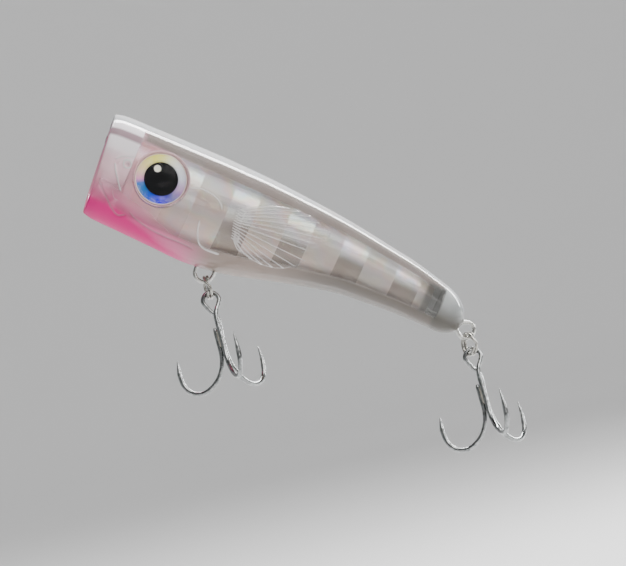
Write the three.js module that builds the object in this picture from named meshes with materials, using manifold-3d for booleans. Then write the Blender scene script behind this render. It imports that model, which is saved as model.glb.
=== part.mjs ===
// A topwater popper: a hollow plastic fishing lure with a cupped face, a through-wire,
// and two treble hooks on split rings.
//
// Millimetres, +Z up. The lure floats nose up, so its long axis is tilted by NOSE_UP and the
// hooks hang down -Z. The origin is the centre of the nose loop, where the fishing line is tied.
//
// The body has its own frame: +X from the face to the tail, +Z the back, y = 0 the seam plane.
// The lure's left side is at -Y.
import * as THREE from "three";
import { mergeVertices } from "three/addons/utils/BufferGeometryUtils.js";
import Module from "manifold-3d";

const wasm = await Module();
wasm.setup();
const { degToRad, lerp, clamp } = THREE.MathUtils;

// ---- Driving dimensions ----
const NOSE_UP = degToRad(36.5); // how far the floating lure points up
const BODY_LENGTH = 120.3; // middle of the face to the end of the tail
const CAP_LENGTH = 9.3; // the rounded end of the tail
const FACE_RAKE = 0.095; // the upper lip stands this far forward for each mm of height
const RAKE_FADE = 40; // and the sections stand square behind this length
const WALL = 1.6; // moulded wall thickness
const FAR = 40; // reaches past the body's skin on every side
const GAP = 0.3; // clearance between pieces that lie against each other

const CUP = { mouthRadius: 13.8, depth: 8 };
const WIRE_RADIUS = 0.6;
const LOOP_RADIUS = 2.5; // centre line of the nose and tail loops
const NOSE_LOOP = { x: 4.3, z: 0 };
const TAIL_LOOP = { x: 122.2, z: -1.7 };
const BELLY_LOOP = { x: 42, z: -17.4, radius: 2.8 };

// The eyes are set square to the body's side, so their axes run out from its centre line, EYE.tilt
// upwards. Socket and boss floors are distances from the centre line.
const EYE = {
  x: 18.4,
  tilt: degToRad(9.6),
  socketRadius: 8.1,
  socketFloor: 13,
  bossRadius: 9,
  bossFloor: 11.5,
};
const EYE_FOIL_THICKNESS = 0.4;
// The foil inserts run between these sections and these angles round the body.
const FOIL = { from: 9, to: 108, lowest: degToRad(-60), highest: degToRad(46), thickness: 0.4 };
const EYE_RING_CLEARANCE = 0.5; // foil insert to eye boss

// Each weight lies in two cradles, of the half width and height given.
const KEEL_WEIGHT = { from: 17, to: 32, radius: 3.4, z: -11, cradleWidth: 5.6, cradleTop: -9.6 };
const TAIL_WEIGHT = { from: 91, to: 105, radius: 3.6, z: 3.6, cradleWidth: 2.4, cradleTop: 1.6 };
// The rattle balls run on guides between two cross walls, from RATTLE.rear forwards.
const RATTLE = { radius: 3, side: 3.5, z: 2.4, rear: 77, travel: 9, guide: 1.2 };
const RIB_THICKNESS = 1.4;
const MIDDLE_RIB = 51;
const PEGS = [
  { x: 33, z: 13.4 },
  { x: 60, z: 12.6 },
  { x: 86, z: 10.9 },
];
const PEG = { boss: 2.1, pin: 1.1, reach: 2.4 }; // locating pins along the seam, and their bosses

const RING = { wire: 0.425, radius: 3.35, pitch: 1 }; // split ring: wire radius, coil radius, coil spacing
const RING_ON_LOOP = 1.45; // ring's upper wire above the loop's lowest wire, centre to centre
const RING_LEAN = degToRad(-15); // the rings lean to the left side
const TAIL_RING_TURN = degToRad(22); // and the tail ring is turned about the vertical
const HOOK = { wire: 0.66, shank: 0.86, eyeArch: 1.85, eyeHalfWidth: 2.45 };
const FRONT_HOOK = degToRad(-79); // which way each hook of a treble points, about its shank
const REAR_HOOK = degToRad(41);
const BRAZED_HOOK = degToRad(161);

// Body outline: distance from the face, height of the back, depth of the belly, half width.
const STATIONS = [
  [0, 15.7, -15.4, 15.2],
  [3, 16.4, -16.0, 15.8],
  [12, 16.7, -16.3, 16.1],
  [24, 16.9, -16.7, 16.3],
  [34, 17.0, -17.0, 16.1],
  [43, 16.9, -16.2, 15.3],
  [50, 16.7, -14.9, 14.4],
  [57, 16.3, -13.0, 13.3],
  [65, 15.7, -10.8, 12.0],
  [73, 15.0, -8.8, 10.8],
  [82, 13.9, -7.0, 9.6],
  [92, 12.4, -6.1, 8.5],
  [101, 11.0, -5.6, 7.6],
  [111, 8.6, -5.5, 6.6],
];
const CAP_START = BODY_LENGTH - CAP_LENGTH;
const TAIL_TIP_Z = 0;

const MATERIALS = {
  shell: { color: 0xe9e6e6, roughness: 0.15, metalness: 0 },
  foil: { color: 0xb9b7b2, roughness: 0.3, metalness: 0.8 },
  eyeFoil: { color: 0x9aa6e8, roughness: 0.3, metalness: 0.7 },
  eyeDome: { color: 0xf4f4f6, roughness: 0.03, metalness: 0 },
  wire: { color: 0xc9c9c6, roughness: 0.2, metalness: 1 },
  hook: { color: 0xb4b6b6, roughness: 0.15, metalness: 1 },
  weight: { color: 0x8d8a80, roughness: 0.5, metalness: 1 },
};

// ---- Solids ----
// A closed triangle mesh as a manifold solid.
function solid(geometry) {
  const bare = geometry.clone();
  bare.deleteAttribute("normal");
  bare.deleteAttribute("uv");
  const merged = mergeVertices(bare, 1e-4);
  return new wasm.Manifold(
    new wasm.Mesh({
      numProp: 3,
      vertProperties: merged.attributes.position.array,
      triVerts: new Uint32Array(merged.index.array),
    }),
  );
}

function geometryOf(manifold) {
  const mesh = manifold.getMesh();
  const geometry = new THREE.BufferGeometry();
  geometry.setAttribute("position", new THREE.BufferAttribute(mesh.vertProperties, mesh.numProp));
  geometry.setIndex(new THREE.BufferAttribute(mesh.triVerts, 1));
  geometry.computeVertexNormals();
  return geometry;
}

// A closed skin over rings of points, each ring turning the same way; both ends close on a point.
function loft(rings) {
  const count = rings[0].length;
  const points = rings.flat();
  const ends = [rings[0], rings.at(-1)].map((ring) =>
    ring.reduce((sum, p) => sum.add(p), new THREE.Vector3()).divideScalar(count),
  );
  const first = points.push(ends[0]) - 1;
  const last = points.push(ends[1]) - 1;
  const index = [];
  for (let i = 0; i < count; i++) {
    const j = (i + 1) % count;
    index.push(first, j, i);
    for (let r = 0; r < rings.length - 1; r++) {
      const a = r * count;
      const b = a + count;
      index.push(a + i, a + j, b + i, a + j, b + j, b + i);
    }
    const end = (rings.length - 1) * count;
    index.push(last, end + i, end + j);
  }
  const geometry = new THREE.BufferGeometry().setFromPoints(points);
  geometry.setIndex(index);
  geometry.computeVertexNormals();
  return geometry;
}

// A tapering round bar along a curve: radiusAt(t) gives its radius at each step.
function taperedBar(curve, steps, sides, radiusAt) {
  const frames = curve.computeFrenetFrames(steps, false);
  const rings = [];
  for (let s = 0; s <= steps; s++) {
    const t = s / steps;
    const centre = curve.getPointAt(t);
    const ring = [];
    for (let i = 0; i < sides; i++) {
      const turn = (2 * Math.PI * i) / sides;
      ring.push(
        centre
          .clone()
          .addScaledVector(frames.normals[s], Math.cos(turn) * radiusAt(t))
          .addScaledVector(frames.binormals[s], Math.sin(turn) * radiusAt(t)),
      );
    }
    rings.push(ring);
  }
  return loft(rings);
}

// A round wire of one thickness along a curve.
function wireAlong(curve, radius, steps, halfSides = 4) {
  const section = new THREE.Shape().absarc(0, 0, radius, 0, 2 * Math.PI);
  return new THREE.ExtrudeGeometry(section, {
    steps,
    curveSegments: halfSides,
    bevelEnabled: false,
    extrudePath: curve,
  });
}

function block(fromX, toX, fromY, toY, fromZ, toZ) {
  return solid(
    new THREE.BoxGeometry(toX - fromX, toY - fromY, toZ - fromZ).translate(
      (fromX + toX) / 2,
      (fromY + toY) / 2,
      (fromZ + toZ) / 2,
    ),
  );
}

// A cylinder lying along Y, between two values of y.
function crossCylinder(x, z, radius, fromY, toY, sides) {
  return solid(
    new THREE.CylinderGeometry(radius, radius, toY - fromY, sides).translate(x, (fromY + toY) / 2, z),
  );
}

// A cylinder on an eye's axis, between two distances from the body's centre line.
function eyeCylinder(side, radius, from, to, sides) {
  const cylinder = new THREE.CylinderGeometry(radius, radius, to - from, sides);
  return solid(cylinder.translate(0, (from + to) / 2, 0).rotateX(eyeTurn(side)).translate(EYE.x, 0, 0));
}

// The turn about X that points +Y out along an eye's axis.
function eyeTurn(side) {
  return side < 0 ? Math.PI - EYE.tilt : EYE.tilt;
}

// ---- Body outline ----
// Smooth value of a column of STATIONS at x.
function station(x, column) {
  let i = STATIONS.findIndex((s) => s[0] > x) - 1;
  if (i < 0) i = STATIONS.length - 2;
  const at = (n) => STATIONS[clamp(n, 0, STATIONS.length - 1)];
  const slope = (n) => {
    const [a, b] = [at(n - 1), at(n + 1)];
    return (b[column] - a[column]) / (b[0] - a[0]);
  };
  const [a, b] = [at(i), at(i + 1)];
  const span = b[0] - a[0];
  const t = (x - a[0]) / span;
  return (
    a[column] * (1 + 2 * t) * (1 - t) ** 2 +
    slope(i) * span * t * (1 - t) ** 2 +
    b[column] * t * t * (3 - 2 * t) +
    slope(i + 1) * span * t * t * (t - 1)
  );
}

// Centre height, half height and half width of the body at x.
function section(x) {
  const along = Math.min(x, CAP_START);
  const [top, bottom] = [station(along, 1), station(along, 2)];
  const into = Math.max(0, x - CAP_START) / CAP_LENGTH;
  const shrink = Math.sqrt(Math.max(0, 1 - into * into));
  return {
    centre: lerp((top + bottom) / 2, TAIL_TIP_Z, into),
    halfHeight: ((top - bottom) / 2) * shrink,
    halfWidth: station(along, 3) * shrink,
  };
}

// A point of the section at x, turned by angle from the left or right side towards the back.
function onBody(x, angle, inset, side) {
  const { centre, halfHeight, halfWidth } = section(x);
  const z = Math.sin(angle) * Math.max(halfHeight - inset, 0.05);
  const rake = FACE_RAKE * Math.max(0, 1 - x / RAKE_FADE);
  const y = Math.cos(angle) * Math.max(halfWidth - inset, 0.05);
  return new THREE.Vector3(x - rake * z, side * y, centre + z);
}

// A closed solid of the body's shape, between two values of x, set in from the outer skin.
function bodySolid(xs, insetAt, count) {
  const rings = xs.map((x) =>
    Array.from({ length: count }, (_, i) => onBody(x, (2 * Math.PI * i) / count, insetAt(x), 1)),
  );
  return solid(loft(rings));
}

function range(from, to, steps) {
  return Array.from({ length: steps + 1 }, (_, i) => lerp(from, to, i / steps));
}

// ---- Through-wire ----
// The wire lies in the seam plane. It is bent back on itself behind the nose and tail loops.
const inSeam = (x, z) => new THREE.Vector3(x, 0, z);
const NECK = 0.72; // the two wires behind a loop lie this far off the loop's centre

// Points round a loop, from one side of its neck to the other. The neck points along neckAngle.
function loopPoints(loop, radius, neckAngle, open, steps, turn) {
  return range(open, 2 * Math.PI - open, steps).map((a) =>
    inSeam(
      loop.x + radius * Math.cos(neckAngle + turn * a),
      loop.z + radius * Math.sin(neckAngle + turn * a),
    ),
  );
}

const WIRE_STEPS = 110;

function wireCurve() {
  const open = degToRad(42);
  const u = BELLY_LOOP;
  return new THREE.CatmullRomCurve3(
    [
      inSeam(17, -NECK),
      inSeam(10.5, -NECK),
      inSeam(NOSE_LOOP.x + 3.1, -NECK),
      ...loopPoints(NOSE_LOOP, LOOP_RADIUS, 0, open, 10, -1),
      inSeam(NOSE_LOOP.x + 3.1, NECK),
      inSeam(10.5, NECK),
      inSeam(17, NECK),
      inSeam(28, -0.4),
      inSeam(35, -5.5),
      inSeam(u.x - u.radius, -11.5),
      ...range(0, Math.PI, 6).map((a) =>
        inSeam(u.x - u.radius * Math.cos(a), u.z - u.radius * Math.sin(a)),
      ),
      inSeam(u.x + u.radius, -11.5),
      inSeam(48, -5.2),
      inSeam(57, -3.4),
      inSeam(75, -3),
      inSeam(98, TAIL_LOOP.z - NECK),
      inSeam(111, TAIL_LOOP.z - NECK),
      inSeam(TAIL_LOOP.x - 3.1, TAIL_LOOP.z - NECK),
      ...loopPoints(TAIL_LOOP, LOOP_RADIUS, Math.PI, open, 10, 1),
      inSeam(TAIL_LOOP.x - 3.1, TAIL_LOOP.z + NECK),
      inSeam(112, TAIL_LOOP.z + NECK),
      inSeam(107.5, TAIL_LOOP.z + NECK),
    ],
    false,
    "centripetal",
  );
}

// ---- Body shells ----
// The cup is part of a ball, turned with the raked face.
function cupBall(extra) {
  const { mouthRadius, depth } = CUP;
  const radius = (mouthRadius ** 2 + depth ** 2) / (2 * depth);
  const ball = new THREE.SphereGeometry(radius + extra, 28, 16);
  const tilt = new THREE.Matrix4().makeRotationY(Math.atan(FACE_RAKE));
  ball.rotateZ(-Math.PI / 2).translate(depth - radius, 0, 0).applyMatrix4(tilt);
  return solid(ball);
}

// Cross walls inside the body. Each stands clear of the foil inserts, and a narrower web joins it to
// the shell above and below.
function ribs() {
  const { rear, travel, radius } = RATTLE;
  const places = [rear + radius + GAP, rear - travel - radius - GAP - RIB_THICKNESS, MIDDLE_RIB];
  const inner = bodySolid(range(20, 105, 12), () => WALL + 1.4, 20);
  return places.map((x) => {
    const webWidth = 0.33 * section(x).halfWidth;
    const wall = block(x, x + RIB_THICKNESS, -FAR, FAR, -FAR, FAR).intersect(inner);
    return wall.add(block(x, x + RIB_THICKNESS, -webWidth, webWidth, -FAR, FAR));
  });
}

// The floor under one rattle ball's path, from cross wall to cross wall.
function rattleFloor(side) {
  const { rear, travel, radius, z, guide } = RATTLE;
  const top = z - radius - GAP;
  const centre = side * RATTLE.side;
  const [front, back] = [rear - travel - radius - 2, rear + radius + 2];
  return block(front, back, centre - guide, centre + guide, top - 1.2, top);
}

// Two cradles under a weight, standing on the body's floor.
function cradles({ from, to, radius, z, cradleWidth, cradleTop }) {
  const seat = new THREE.CylinderGeometry(radius + GAP, radius + GAP, to - from + 2, 20);
  const slug = solid(seat.rotateZ(Math.PI / 2).translate((from + to) / 2, 0, z));
  return [from + 2, to - 2 - RIB_THICKNESS].map((x) =>
    block(x, x + RIB_THICKNESS, -cradleWidth, cradleWidth, -FAR, cradleTop).subtract(slug),
  );
}

// The moulded wall of both halves together, before it is parted at the seam.
function wallSolid() {
  const outline = [0, 0.6, 3, 7.5, ...range(12, CAP_START, 14), ...range(0.3, 0.97, 4).map(capX)];
  const outer = bodySolid(outline, (x) => (x === 0 ? 0.5 : 0), 32);
  let hollow = bodySolid([...range(4, CAP_START, 12), ...range(0.35, 0.78, 1).map(capX)], () => WALL, 24);
  hollow = hollow.subtract(cupBall(WALL));
  for (const side of [-1, 1]) {
    hollow = hollow.subtract(eyeCylinder(side, EYE.bossRadius, EYE.bossFloor, FAR, 24));
    hollow = hollow.subtract(rattleFloor(side));
  }
  for (const rib of [...ribs(), ...cradles(KEEL_WEIGHT), ...cradles(TAIL_WEIGHT)]) {
    hollow = hollow.subtract(rib);
  }
  for (const peg of PEGS) hollow = hollow.subtract(crossCylinder(peg.x, peg.z, PEG.boss, -FAR, FAR, 14));
  let wall = outer.subtract(hollow).subtract(cupBall(0));
  for (const side of [-1, 1]) {
    wall = wall.subtract(eyeCylinder(side, EYE.socketRadius, EYE.socketFloor, FAR, 36));
  }
  return wall.subtract(solid(wireAlong(wireCurve(), WIRE_RADIUS + GAP, WIRE_STEPS)));
}

function capX(share) {
  return CAP_START + CAP_LENGTH * share;
}

// One half of the wall. The left half carries the locating pins and the right half their holes.
function shell(wall, side) {
  const halfSpace = side < 0 ? [-FAR, -GAP / 2] : [GAP / 2, FAR];
  let half = wall.intersect(block(-FAR, BODY_LENGTH + FAR, ...halfSpace, -FAR, FAR));
  for (const peg of PEGS) {
    const pin = crossCylinder(peg.x, peg.z, PEG.pin, -PEG.reach, PEG.reach, 12);
    const hole = crossCylinder(peg.x, peg.z, PEG.pin + GAP, -PEG.reach - GAP, PEG.reach + GAP, 12);
    half = side < 0 ? half.add(pin) : half.subtract(hole);
  }
  return geometryOf(half);
}

// ---- Pieces inside the body ----
// A reflector sheet against the inner wall of one side, cut out round the eye's boss.
function foilInsert(side) {
  const rings = range(FOIL.from, FOIL.to, 16).map((x) => {
    const outer = range(FOIL.lowest, FOIL.highest, 6);
    const inner = outer.toReversed();
    const ring = [
      ...outer.map((a) => onBody(x, a, WALL + GAP, side)),
      ...inner.map((a) => onBody(x, a, WALL + GAP + FOIL.thickness, side)),
    ];
    return side < 0 ? ring.toReversed() : ring;
  });
  const eyeHole = eyeCylinder(side, EYE.bossRadius + EYE_RING_CLEARANCE, 0, FAR, 24);
  return geometryOf(solid(loft(rings)).subtract(eyeHole).subtract(keepClear()));
}

// The room that the foil inserts leave round the cup and the pins' bosses.
function keepClear() {
  let room = cupBall(WALL + GAP);
  for (const peg of PEGS) room = room.add(crossCylinder(peg.x, peg.z, PEG.boss + GAP, -FAR, FAR, 14));
  return room;
}

function weightSlug({ from, to, radius }) {
  const edge = 0.6;
  const profile = [
    [0, from],
    [radius - edge, from],
    [radius, from + edge],
    [radius, to - edge],
    [radius - edge, to],
    [0, to],
  ].map(([r, along]) => new THREE.Vector2(r, along));
  return new THREE.LatheGeometry(profile, 16);
}

// ---- Eyes ----
// A flat foil disc, and over it a clear dome that ends flush with the body round it. Both stand on y = 0.
const EYE_RADIUS = EYE.socketRadius - GAP;
const DOME = { rim: 0.3, rise: 1.9 };

function eyeFoil() {
  const disc = new THREE.CylinderGeometry(EYE_RADIUS, EYE_RADIUS, EYE_FOIL_THICKNESS, 32);
  return disc.translate(0, EYE_FOIL_THICKNESS / 2, 0);
}

function eyeDome() {
  const arc = range(0, Math.PI / 2, 5).map(
    (a) => new THREE.Vector2(EYE_RADIUS * Math.cos(a), DOME.rim + DOME.rise * Math.sin(a)),
  );
  arc[arc.length - 1].x = 0; // the last point is exactly on the axis
  return new THREE.LatheGeometry([new THREE.Vector2(0, 0), new THREE.Vector2(EYE_RADIUS, 0), ...arc], 32);
}

// ---- Split ring ----
// Two turns of wire side by side, with one step between them. It hangs in the plane of local Y and Z.
function splitRing() {
  const step = degToRad(40);
  const spare = degToRad(12);
  const total = 4 * Math.PI - step - 2 * spare;
  const stepStart = 2 * Math.PI - step - spare;
  const points = range(0, total, 40).map((turn) => {
    const crossed = THREE.MathUtils.smoothstep(turn, stepStart, stepStart + step);
    const angle = turn + degToRad(212);
    return new THREE.Vector3(
      RING.pitch * (crossed - 0.5),
      RING.radius * Math.cos(angle),
      RING.radius * Math.sin(angle),
    );
  });
  return wireAlong(new THREE.CatmullRomCurve3(points), RING.wire, 48, 3);
}

// ---- Treble hooks ----
// One hook's bend in its own plane: distance out from the shank's line, depth below the split ring's wire.
const BEND = [
  [0.95, 18.5],
  [2.3, 22.4],
  [4.8, 25.6],
  [8.4, 27.5],
  [11.9, 27.0],
  [14.3, 24.4],
  [15.1, 20.6],
  [14.8, 15.6],
];
const SHANK_END = 13; // depth at which the bends begin to open
const POINT_SHARE = 0.12; // the last part of a hook, ground to a point
const TIP_RADIUS = 0.08;

// A point of a hook whose plane is turned by azimuth about the shank's line.
function hookPoint(out, depth, azimuth) {
  return new THREE.Vector3(out * Math.cos(azimuth), out * Math.sin(azimuth), -depth);
}

function hookRadius(distanceFromTip) {
  return lerp(TIP_RADIUS, HOOK.wire, Math.min(1, distanceFromTip / POINT_SHARE) ** 0.8);
}

function bendPoints(azimuth) {
  return BEND.map(([out, depth]) => hookPoint(out, depth, azimuth));
}

// Half of the hook's eye, from its neck to the widest part and up to the arch.
function eyePoints(side, towardsBack) {
  return [
    new THREE.Vector3(side * 0.95, towardsBack * 0.6, -EYE_NECK),
    new THREE.Vector3(side * 1.85, towardsBack * 0.3, -2.4),
    new THREE.Vector3(side * HOOK.eyeHalfWidth, towardsBack * 0.05, -0.7),
    new THREE.Vector3(side * 1.65, 0, 1.0),
  ];
}
const EYE_NECK = 3.9;

// The double hook: one wire from point to point, through the eye. The wire crosses itself under the
// eye, so that the front hook's shank rises to the eye's rear side.
function doubleHook() {
  const shank = (azimuth) => [
    hookPoint(HOOK.shank, SHANK_END, azimuth),
    hookPoint(HOOK.shank, EYE_NECK + 2.4, azimuth),
  ];
  const points = [
    ...bendPoints(FRONT_HOOK).toReversed(),
    ...shank(FRONT_HOOK),
    ...eyePoints(1, -1),
    new THREE.Vector3(0, 0, HOOK.eyeArch),
    ...eyePoints(-1, 1).toReversed(),
    ...shank(REAR_HOOK).toReversed(),
    ...bendPoints(REAR_HOOK),
  ];
  const curve = new THREE.CatmullRomCurve3(points, false, "centripetal");
  return taperedBar(curve, 84, 7, (t) => hookRadius(2 * Math.min(t, 1 - t)));
}

// The third hook, brazed to the double hook's shank.
function thirdHook() {
  const lift = HOOK.shank + 0.2; // it stands clear of the double hook by the braze
  const [, ...bend] = bendPoints(BRAZED_HOOK);
  const points = [
    hookPoint(lift, EYE_NECK + 5.6, BRAZED_HOOK),
    hookPoint(lift, SHANK_END, BRAZED_HOOK),
    hookPoint(lift + 0.1, BEND[0][1], BRAZED_HOOK),
    ...bend,
  ];
  const curve = new THREE.CatmullRomCurve3(points, false, "centripetal");
  return taperedBar(curve, 34, 7, (t) => hookRadius(1.15 * (1 - t)));
}

// ---- Assembly ----
function piece(name, geometry, materialName) {
  const mesh = new THREE.Mesh(geometry, new THREE.MeshStandardMaterial(MATERIALS[materialName]));
  mesh.name = name;
  return mesh;
}

function weight(name, slug) {
  const mesh = piece(name, weightSlug(slug), "weight");
  mesh.rotation.z = -Math.PI / 2; // the lathe's axis lies along the body
  mesh.position.z = slug.z;
  return mesh;
}

// The eye's disc and dome stand on the socket floor, facing out.
function eyePiece(name, geometry, materialName, side, height) {
  const mesh = piece(name, geometry, materialName);
  mesh.rotation.x = eyeTurn(side);
  mesh.position.set(0, EYE.socketFloor + height, 0).applyEuler(mesh.rotation);
  mesh.position.x = EYE.x;
  return mesh;
}

function makeBody() {
  const body = new THREE.Group();
  const wall = wallSolid();
  const sides = { left: -1, right: 1 };
  for (const [word, side] of Object.entries(sides)) {
    const ball = piece(`rattle_ball_${word}`, new THREE.SphereGeometry(RATTLE.radius, 14, 9), "weight");
    ball.position.set(RATTLE.rear, side * RATTLE.side, RATTLE.z);
    body.add(
      piece(`body_shell_${word}`, shell(wall, side), "shell"),
      piece(`foil_${word}`, foilInsert(side), "foil"),
      eyePiece(`eye_foil_${word}`, eyeFoil(), "eyeFoil", side, GAP),
      eyePiece(`eye_dome_${word}`, eyeDome(), "eyeDome", side, 2 * GAP + EYE_FOIL_THICKNESS),
      ball,
    );
  }
  body.add(
    piece("through_wire", wireAlong(wireCurve(), WIRE_RADIUS, WIRE_STEPS), "wire"),
    weight("keel_weight", KEEL_WEIGHT),
    weight("tail_weight", TAIL_WEIGHT),
  );
  return body;
}

// A split ring on a loop's lowest wire, and a treble hook on the ring. Only the ring takes the turn.
function makeTackle(name, pivot, turn) {
  const tackle = new THREE.Group();
  tackle.position.copy(pivot);
  tackle.rotation.x = RING_LEAN;
  const ring = piece(`${name}_split_ring`, splitRing(), "hook");
  ring.rotation.z = turn;
  ring.position.z = RING_ON_LOOP - RING.radius;
  const treble = new THREE.Group();
  treble.position.z = RING_ON_LOOP - 2 * RING.radius;
  treble.add(
    piece(`${name}_double_hook`, doubleHook(), "hook"),
    piece(`${name}_third_hook`, thirdHook(), "hook"),
  );
  tackle.add(ring, treble);
  return tackle;
}

const lure = new THREE.Group();
const body = makeBody();
body.rotation.y = NOSE_UP;
body.position.copy(inSeam(NOSE_LOOP.x, NOSE_LOOP.z).applyEuler(body.rotation).negate());
lure.add(body);
body.updateMatrixWorld(true);

// The lowest point of a loop's wire once the body is tilted, which its split ring hangs on.
function lowestPoint(loop, radius) {
  const down = new THREE.Vector3(0, 0, -radius);
  return inSeam(loop.x, loop.z).applyMatrix4(body.matrixWorld).add(down);
}
lure.add(
  makeTackle("belly", lowestPoint(BELLY_LOOP, BELLY_LOOP.radius), 0),
  makeTackle("tail", lowestPoint(TAIL_LOOP, LOOP_RADIUS), TAIL_RING_TURN),
);

export default lure;
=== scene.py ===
# The looks of the topwater popper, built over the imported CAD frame.
import math

import bpy
import numpy as np
from mathutils import Matrix, Vector


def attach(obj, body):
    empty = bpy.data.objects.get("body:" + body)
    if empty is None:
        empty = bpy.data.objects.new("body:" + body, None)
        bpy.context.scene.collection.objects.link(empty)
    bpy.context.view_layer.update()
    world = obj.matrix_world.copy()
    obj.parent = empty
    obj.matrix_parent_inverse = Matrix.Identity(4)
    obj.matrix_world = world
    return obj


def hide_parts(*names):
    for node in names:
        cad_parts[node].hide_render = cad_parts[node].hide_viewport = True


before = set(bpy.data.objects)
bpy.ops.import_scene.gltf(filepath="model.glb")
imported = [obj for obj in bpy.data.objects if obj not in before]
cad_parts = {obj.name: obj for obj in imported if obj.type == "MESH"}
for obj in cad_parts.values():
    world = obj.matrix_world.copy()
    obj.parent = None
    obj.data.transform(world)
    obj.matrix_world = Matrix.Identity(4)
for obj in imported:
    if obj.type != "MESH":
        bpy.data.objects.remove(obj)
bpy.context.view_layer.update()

MM = 0.001

# ---- The body's own frame: millimetres, +X from the face to the tail, +Z the back ----
NOSE_UP = math.radians(36.5)
NOSE = np.array([4.3, 0.0, 0.0])
LENGTH = 120.3
CAP_LENGTH = 9.3
CAP_START = LENGTH - CAP_LENGTH
FACE_RAKE = 0.095
RAKE_FADE = 40.0
WALL = 1.6
SEAM = 0.02
# x, top, bottom and half width of the section
STATIONS = np.array([
    [0, 15.7, -15.4, 15.2],
    [3, 16.4, -16.0, 15.8],
    [12, 16.7, -16.3, 16.1],
    [24, 16.9, -16.7, 16.3],
    [34, 17.0, -17.0, 16.1],
    [43, 16.9, -16.2, 15.3],
    [50, 16.7, -14.9, 14.4],
    [57, 16.3, -13.0, 13.3],
    [65, 15.7, -10.8, 12.0],
    [73, 15.0, -8.8, 10.8],
    [82, 13.9, -7.0, 9.6],
    [92, 12.4, -6.1, 8.5],
    [101, 11.0, -5.6, 7.6],
    [111, 8.6, -5.5, 6.6],
])
CUP_MOUTH = 13.8
CUP_DEPTH = 8.0
CUP_RADIUS = (CUP_MOUTH**2 + CUP_DEPTH**2) / (2 * CUP_DEPTH)
EYE_MIDDLE = np.array([18.4, 0.0, 0.0])
EYE_TILT = math.radians(9.6)
EYE_SOCKET = 8.1
EYE_FLOOR = 13.0


def to_world(points):
    """Body millimetres to world metres."""
    p = np.asarray(points, float) - NOSE
    c, s = math.cos(NOSE_UP), math.sin(NOSE_UP)
    x = p[..., 0] * c + p[..., 2] * s
    z = -p[..., 0] * s + p[..., 2] * c
    return np.stack([x, p[..., 1], z], -1) * MM


def station(x, column):
    """Smooth value of one column of STATIONS at each x."""
    xs, ys = STATIONS[:, 0], STATIONS[:, column]
    last = len(xs) - 1
    i = np.clip(np.searchsorted(xs, x, side="right") - 1, 0, last - 1)
    lo, hi = np.maximum(np.arange(last + 1) - 1, 0), np.minimum(np.arange(last + 1) + 1, last)
    slope = (ys[hi] - ys[lo]) / (xs[hi] - xs[lo])
    span = xs[i + 1] - xs[i]
    t = (x - xs[i]) / span
    return (
        ys[i] * (1 + 2 * t) * (1 - t) ** 2
        + slope[i] * span * t * (1 - t) ** 2
        + ys[i + 1] * t * t * (3 - 2 * t)
        + slope[i + 1] * span * t * t * (t - 1)
    )


def section(x):
    """Centre height, half height and half width of the body at each x."""
    along = np.minimum(x, CAP_START)
    top, bottom = station(along, 1), station(along, 2)
    into = np.maximum(0, x - CAP_START) / CAP_LENGTH
    shrink = np.sqrt(np.maximum(0, 1 - into * into))
    centre = (top + bottom) / 2 * (1 - into)
    return centre, (top - bottom) / 2 * shrink, station(along, 3) * shrink


def on_body(x, angle, inset, side):
    """A point of the section at x, turned by angle from the side towards the back."""
    centre, half_height, half_width = section(x)
    z = np.sin(angle) * np.maximum(half_height - inset, 0.02)
    rake = FACE_RAKE * np.maximum(0, 1 - x / RAKE_FADE)
    y = np.cos(angle) * np.maximum(half_width - inset, 0.02)
    return np.stack([x - rake * z, side * y, centre + z], -1)


def eye_axis(side):
    """The way an eye looks out of the body."""
    return np.array([0.0, side * math.cos(EYE_TILT), math.sin(EYE_TILT)])


def off_eye_axis(points, side):
    """Each point's distance along the eye's axis from its middle, and its distance off that axis."""
    axis = eye_axis(side)
    away = points - EYE_MIDDLE
    along = away @ axis
    return along, np.linalg.norm(away - along[..., None] * axis, axis=-1)


def smooth(t):
    """0 below 0, 1 above 1, and a smooth step between."""
    t = np.clip(t, 0, 1)
    return t * t * (3 - 2 * t)


def round_turns(count):
    return np.linspace(0, 2 * math.pi, count, endpoint=False)


def ridge(distance, width):
    """A rounded crest, 1 at no distance."""
    return np.exp(-((distance / width) ** 2))


# ---- Meshes ----
def link(obj):
    bpy.context.scene.collection.objects.link(obj)
    return obj


def make_mesh(name, verts, faces, finish, place=None):
    mesh = bpy.data.meshes.new(name)
    mesh.from_pydata([tuple(v) for v in verts], [], [tuple(int(i) for i in f) for f in faces])
    mesh.update()
    mesh.polygons.foreach_set("use_smooth", [True] * len(mesh.polygons))
    mesh.materials.append(finish)
    if place is not None:
        layer = mesh.attributes.new("place", "FLOAT_VECTOR", "POINT")
        layer.data.foreach_set("vector", np.asarray(place, np.float32).ravel())
    return link(bpy.data.objects.new(name, mesh))


def grid_faces(rows, columns, closed=False, flip=False):
    """Quads over a grid of points; closed joins the last column to the first."""
    r = np.arange(rows - 1)[:, None]
    c = np.arange(columns if closed else columns - 1)[None, :]
    d = (c + 1) % columns
    a, b, e, f = r * columns + c, r * columns + d, (r + 1) * columns + d, (r + 1) * columns + c
    quads = np.stack([a, b, e, f], -1).reshape(-1, 4)
    return quads[:, ::-1] if flip else quads


def body_mesh(name, points, faces, finish):
    flat = points.reshape(-1, 3)
    return make_mesh(name, to_world(flat), faces, finish, place=flat)


def mark(obj, attribute, values):
    """One number for each vertex, for the materials to read."""
    layer = obj.data.attributes.new(attribute, "FLOAT", "POINT")
    layer.data.foreach_set("value", np.asarray(values, np.float32).ravel())


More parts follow.
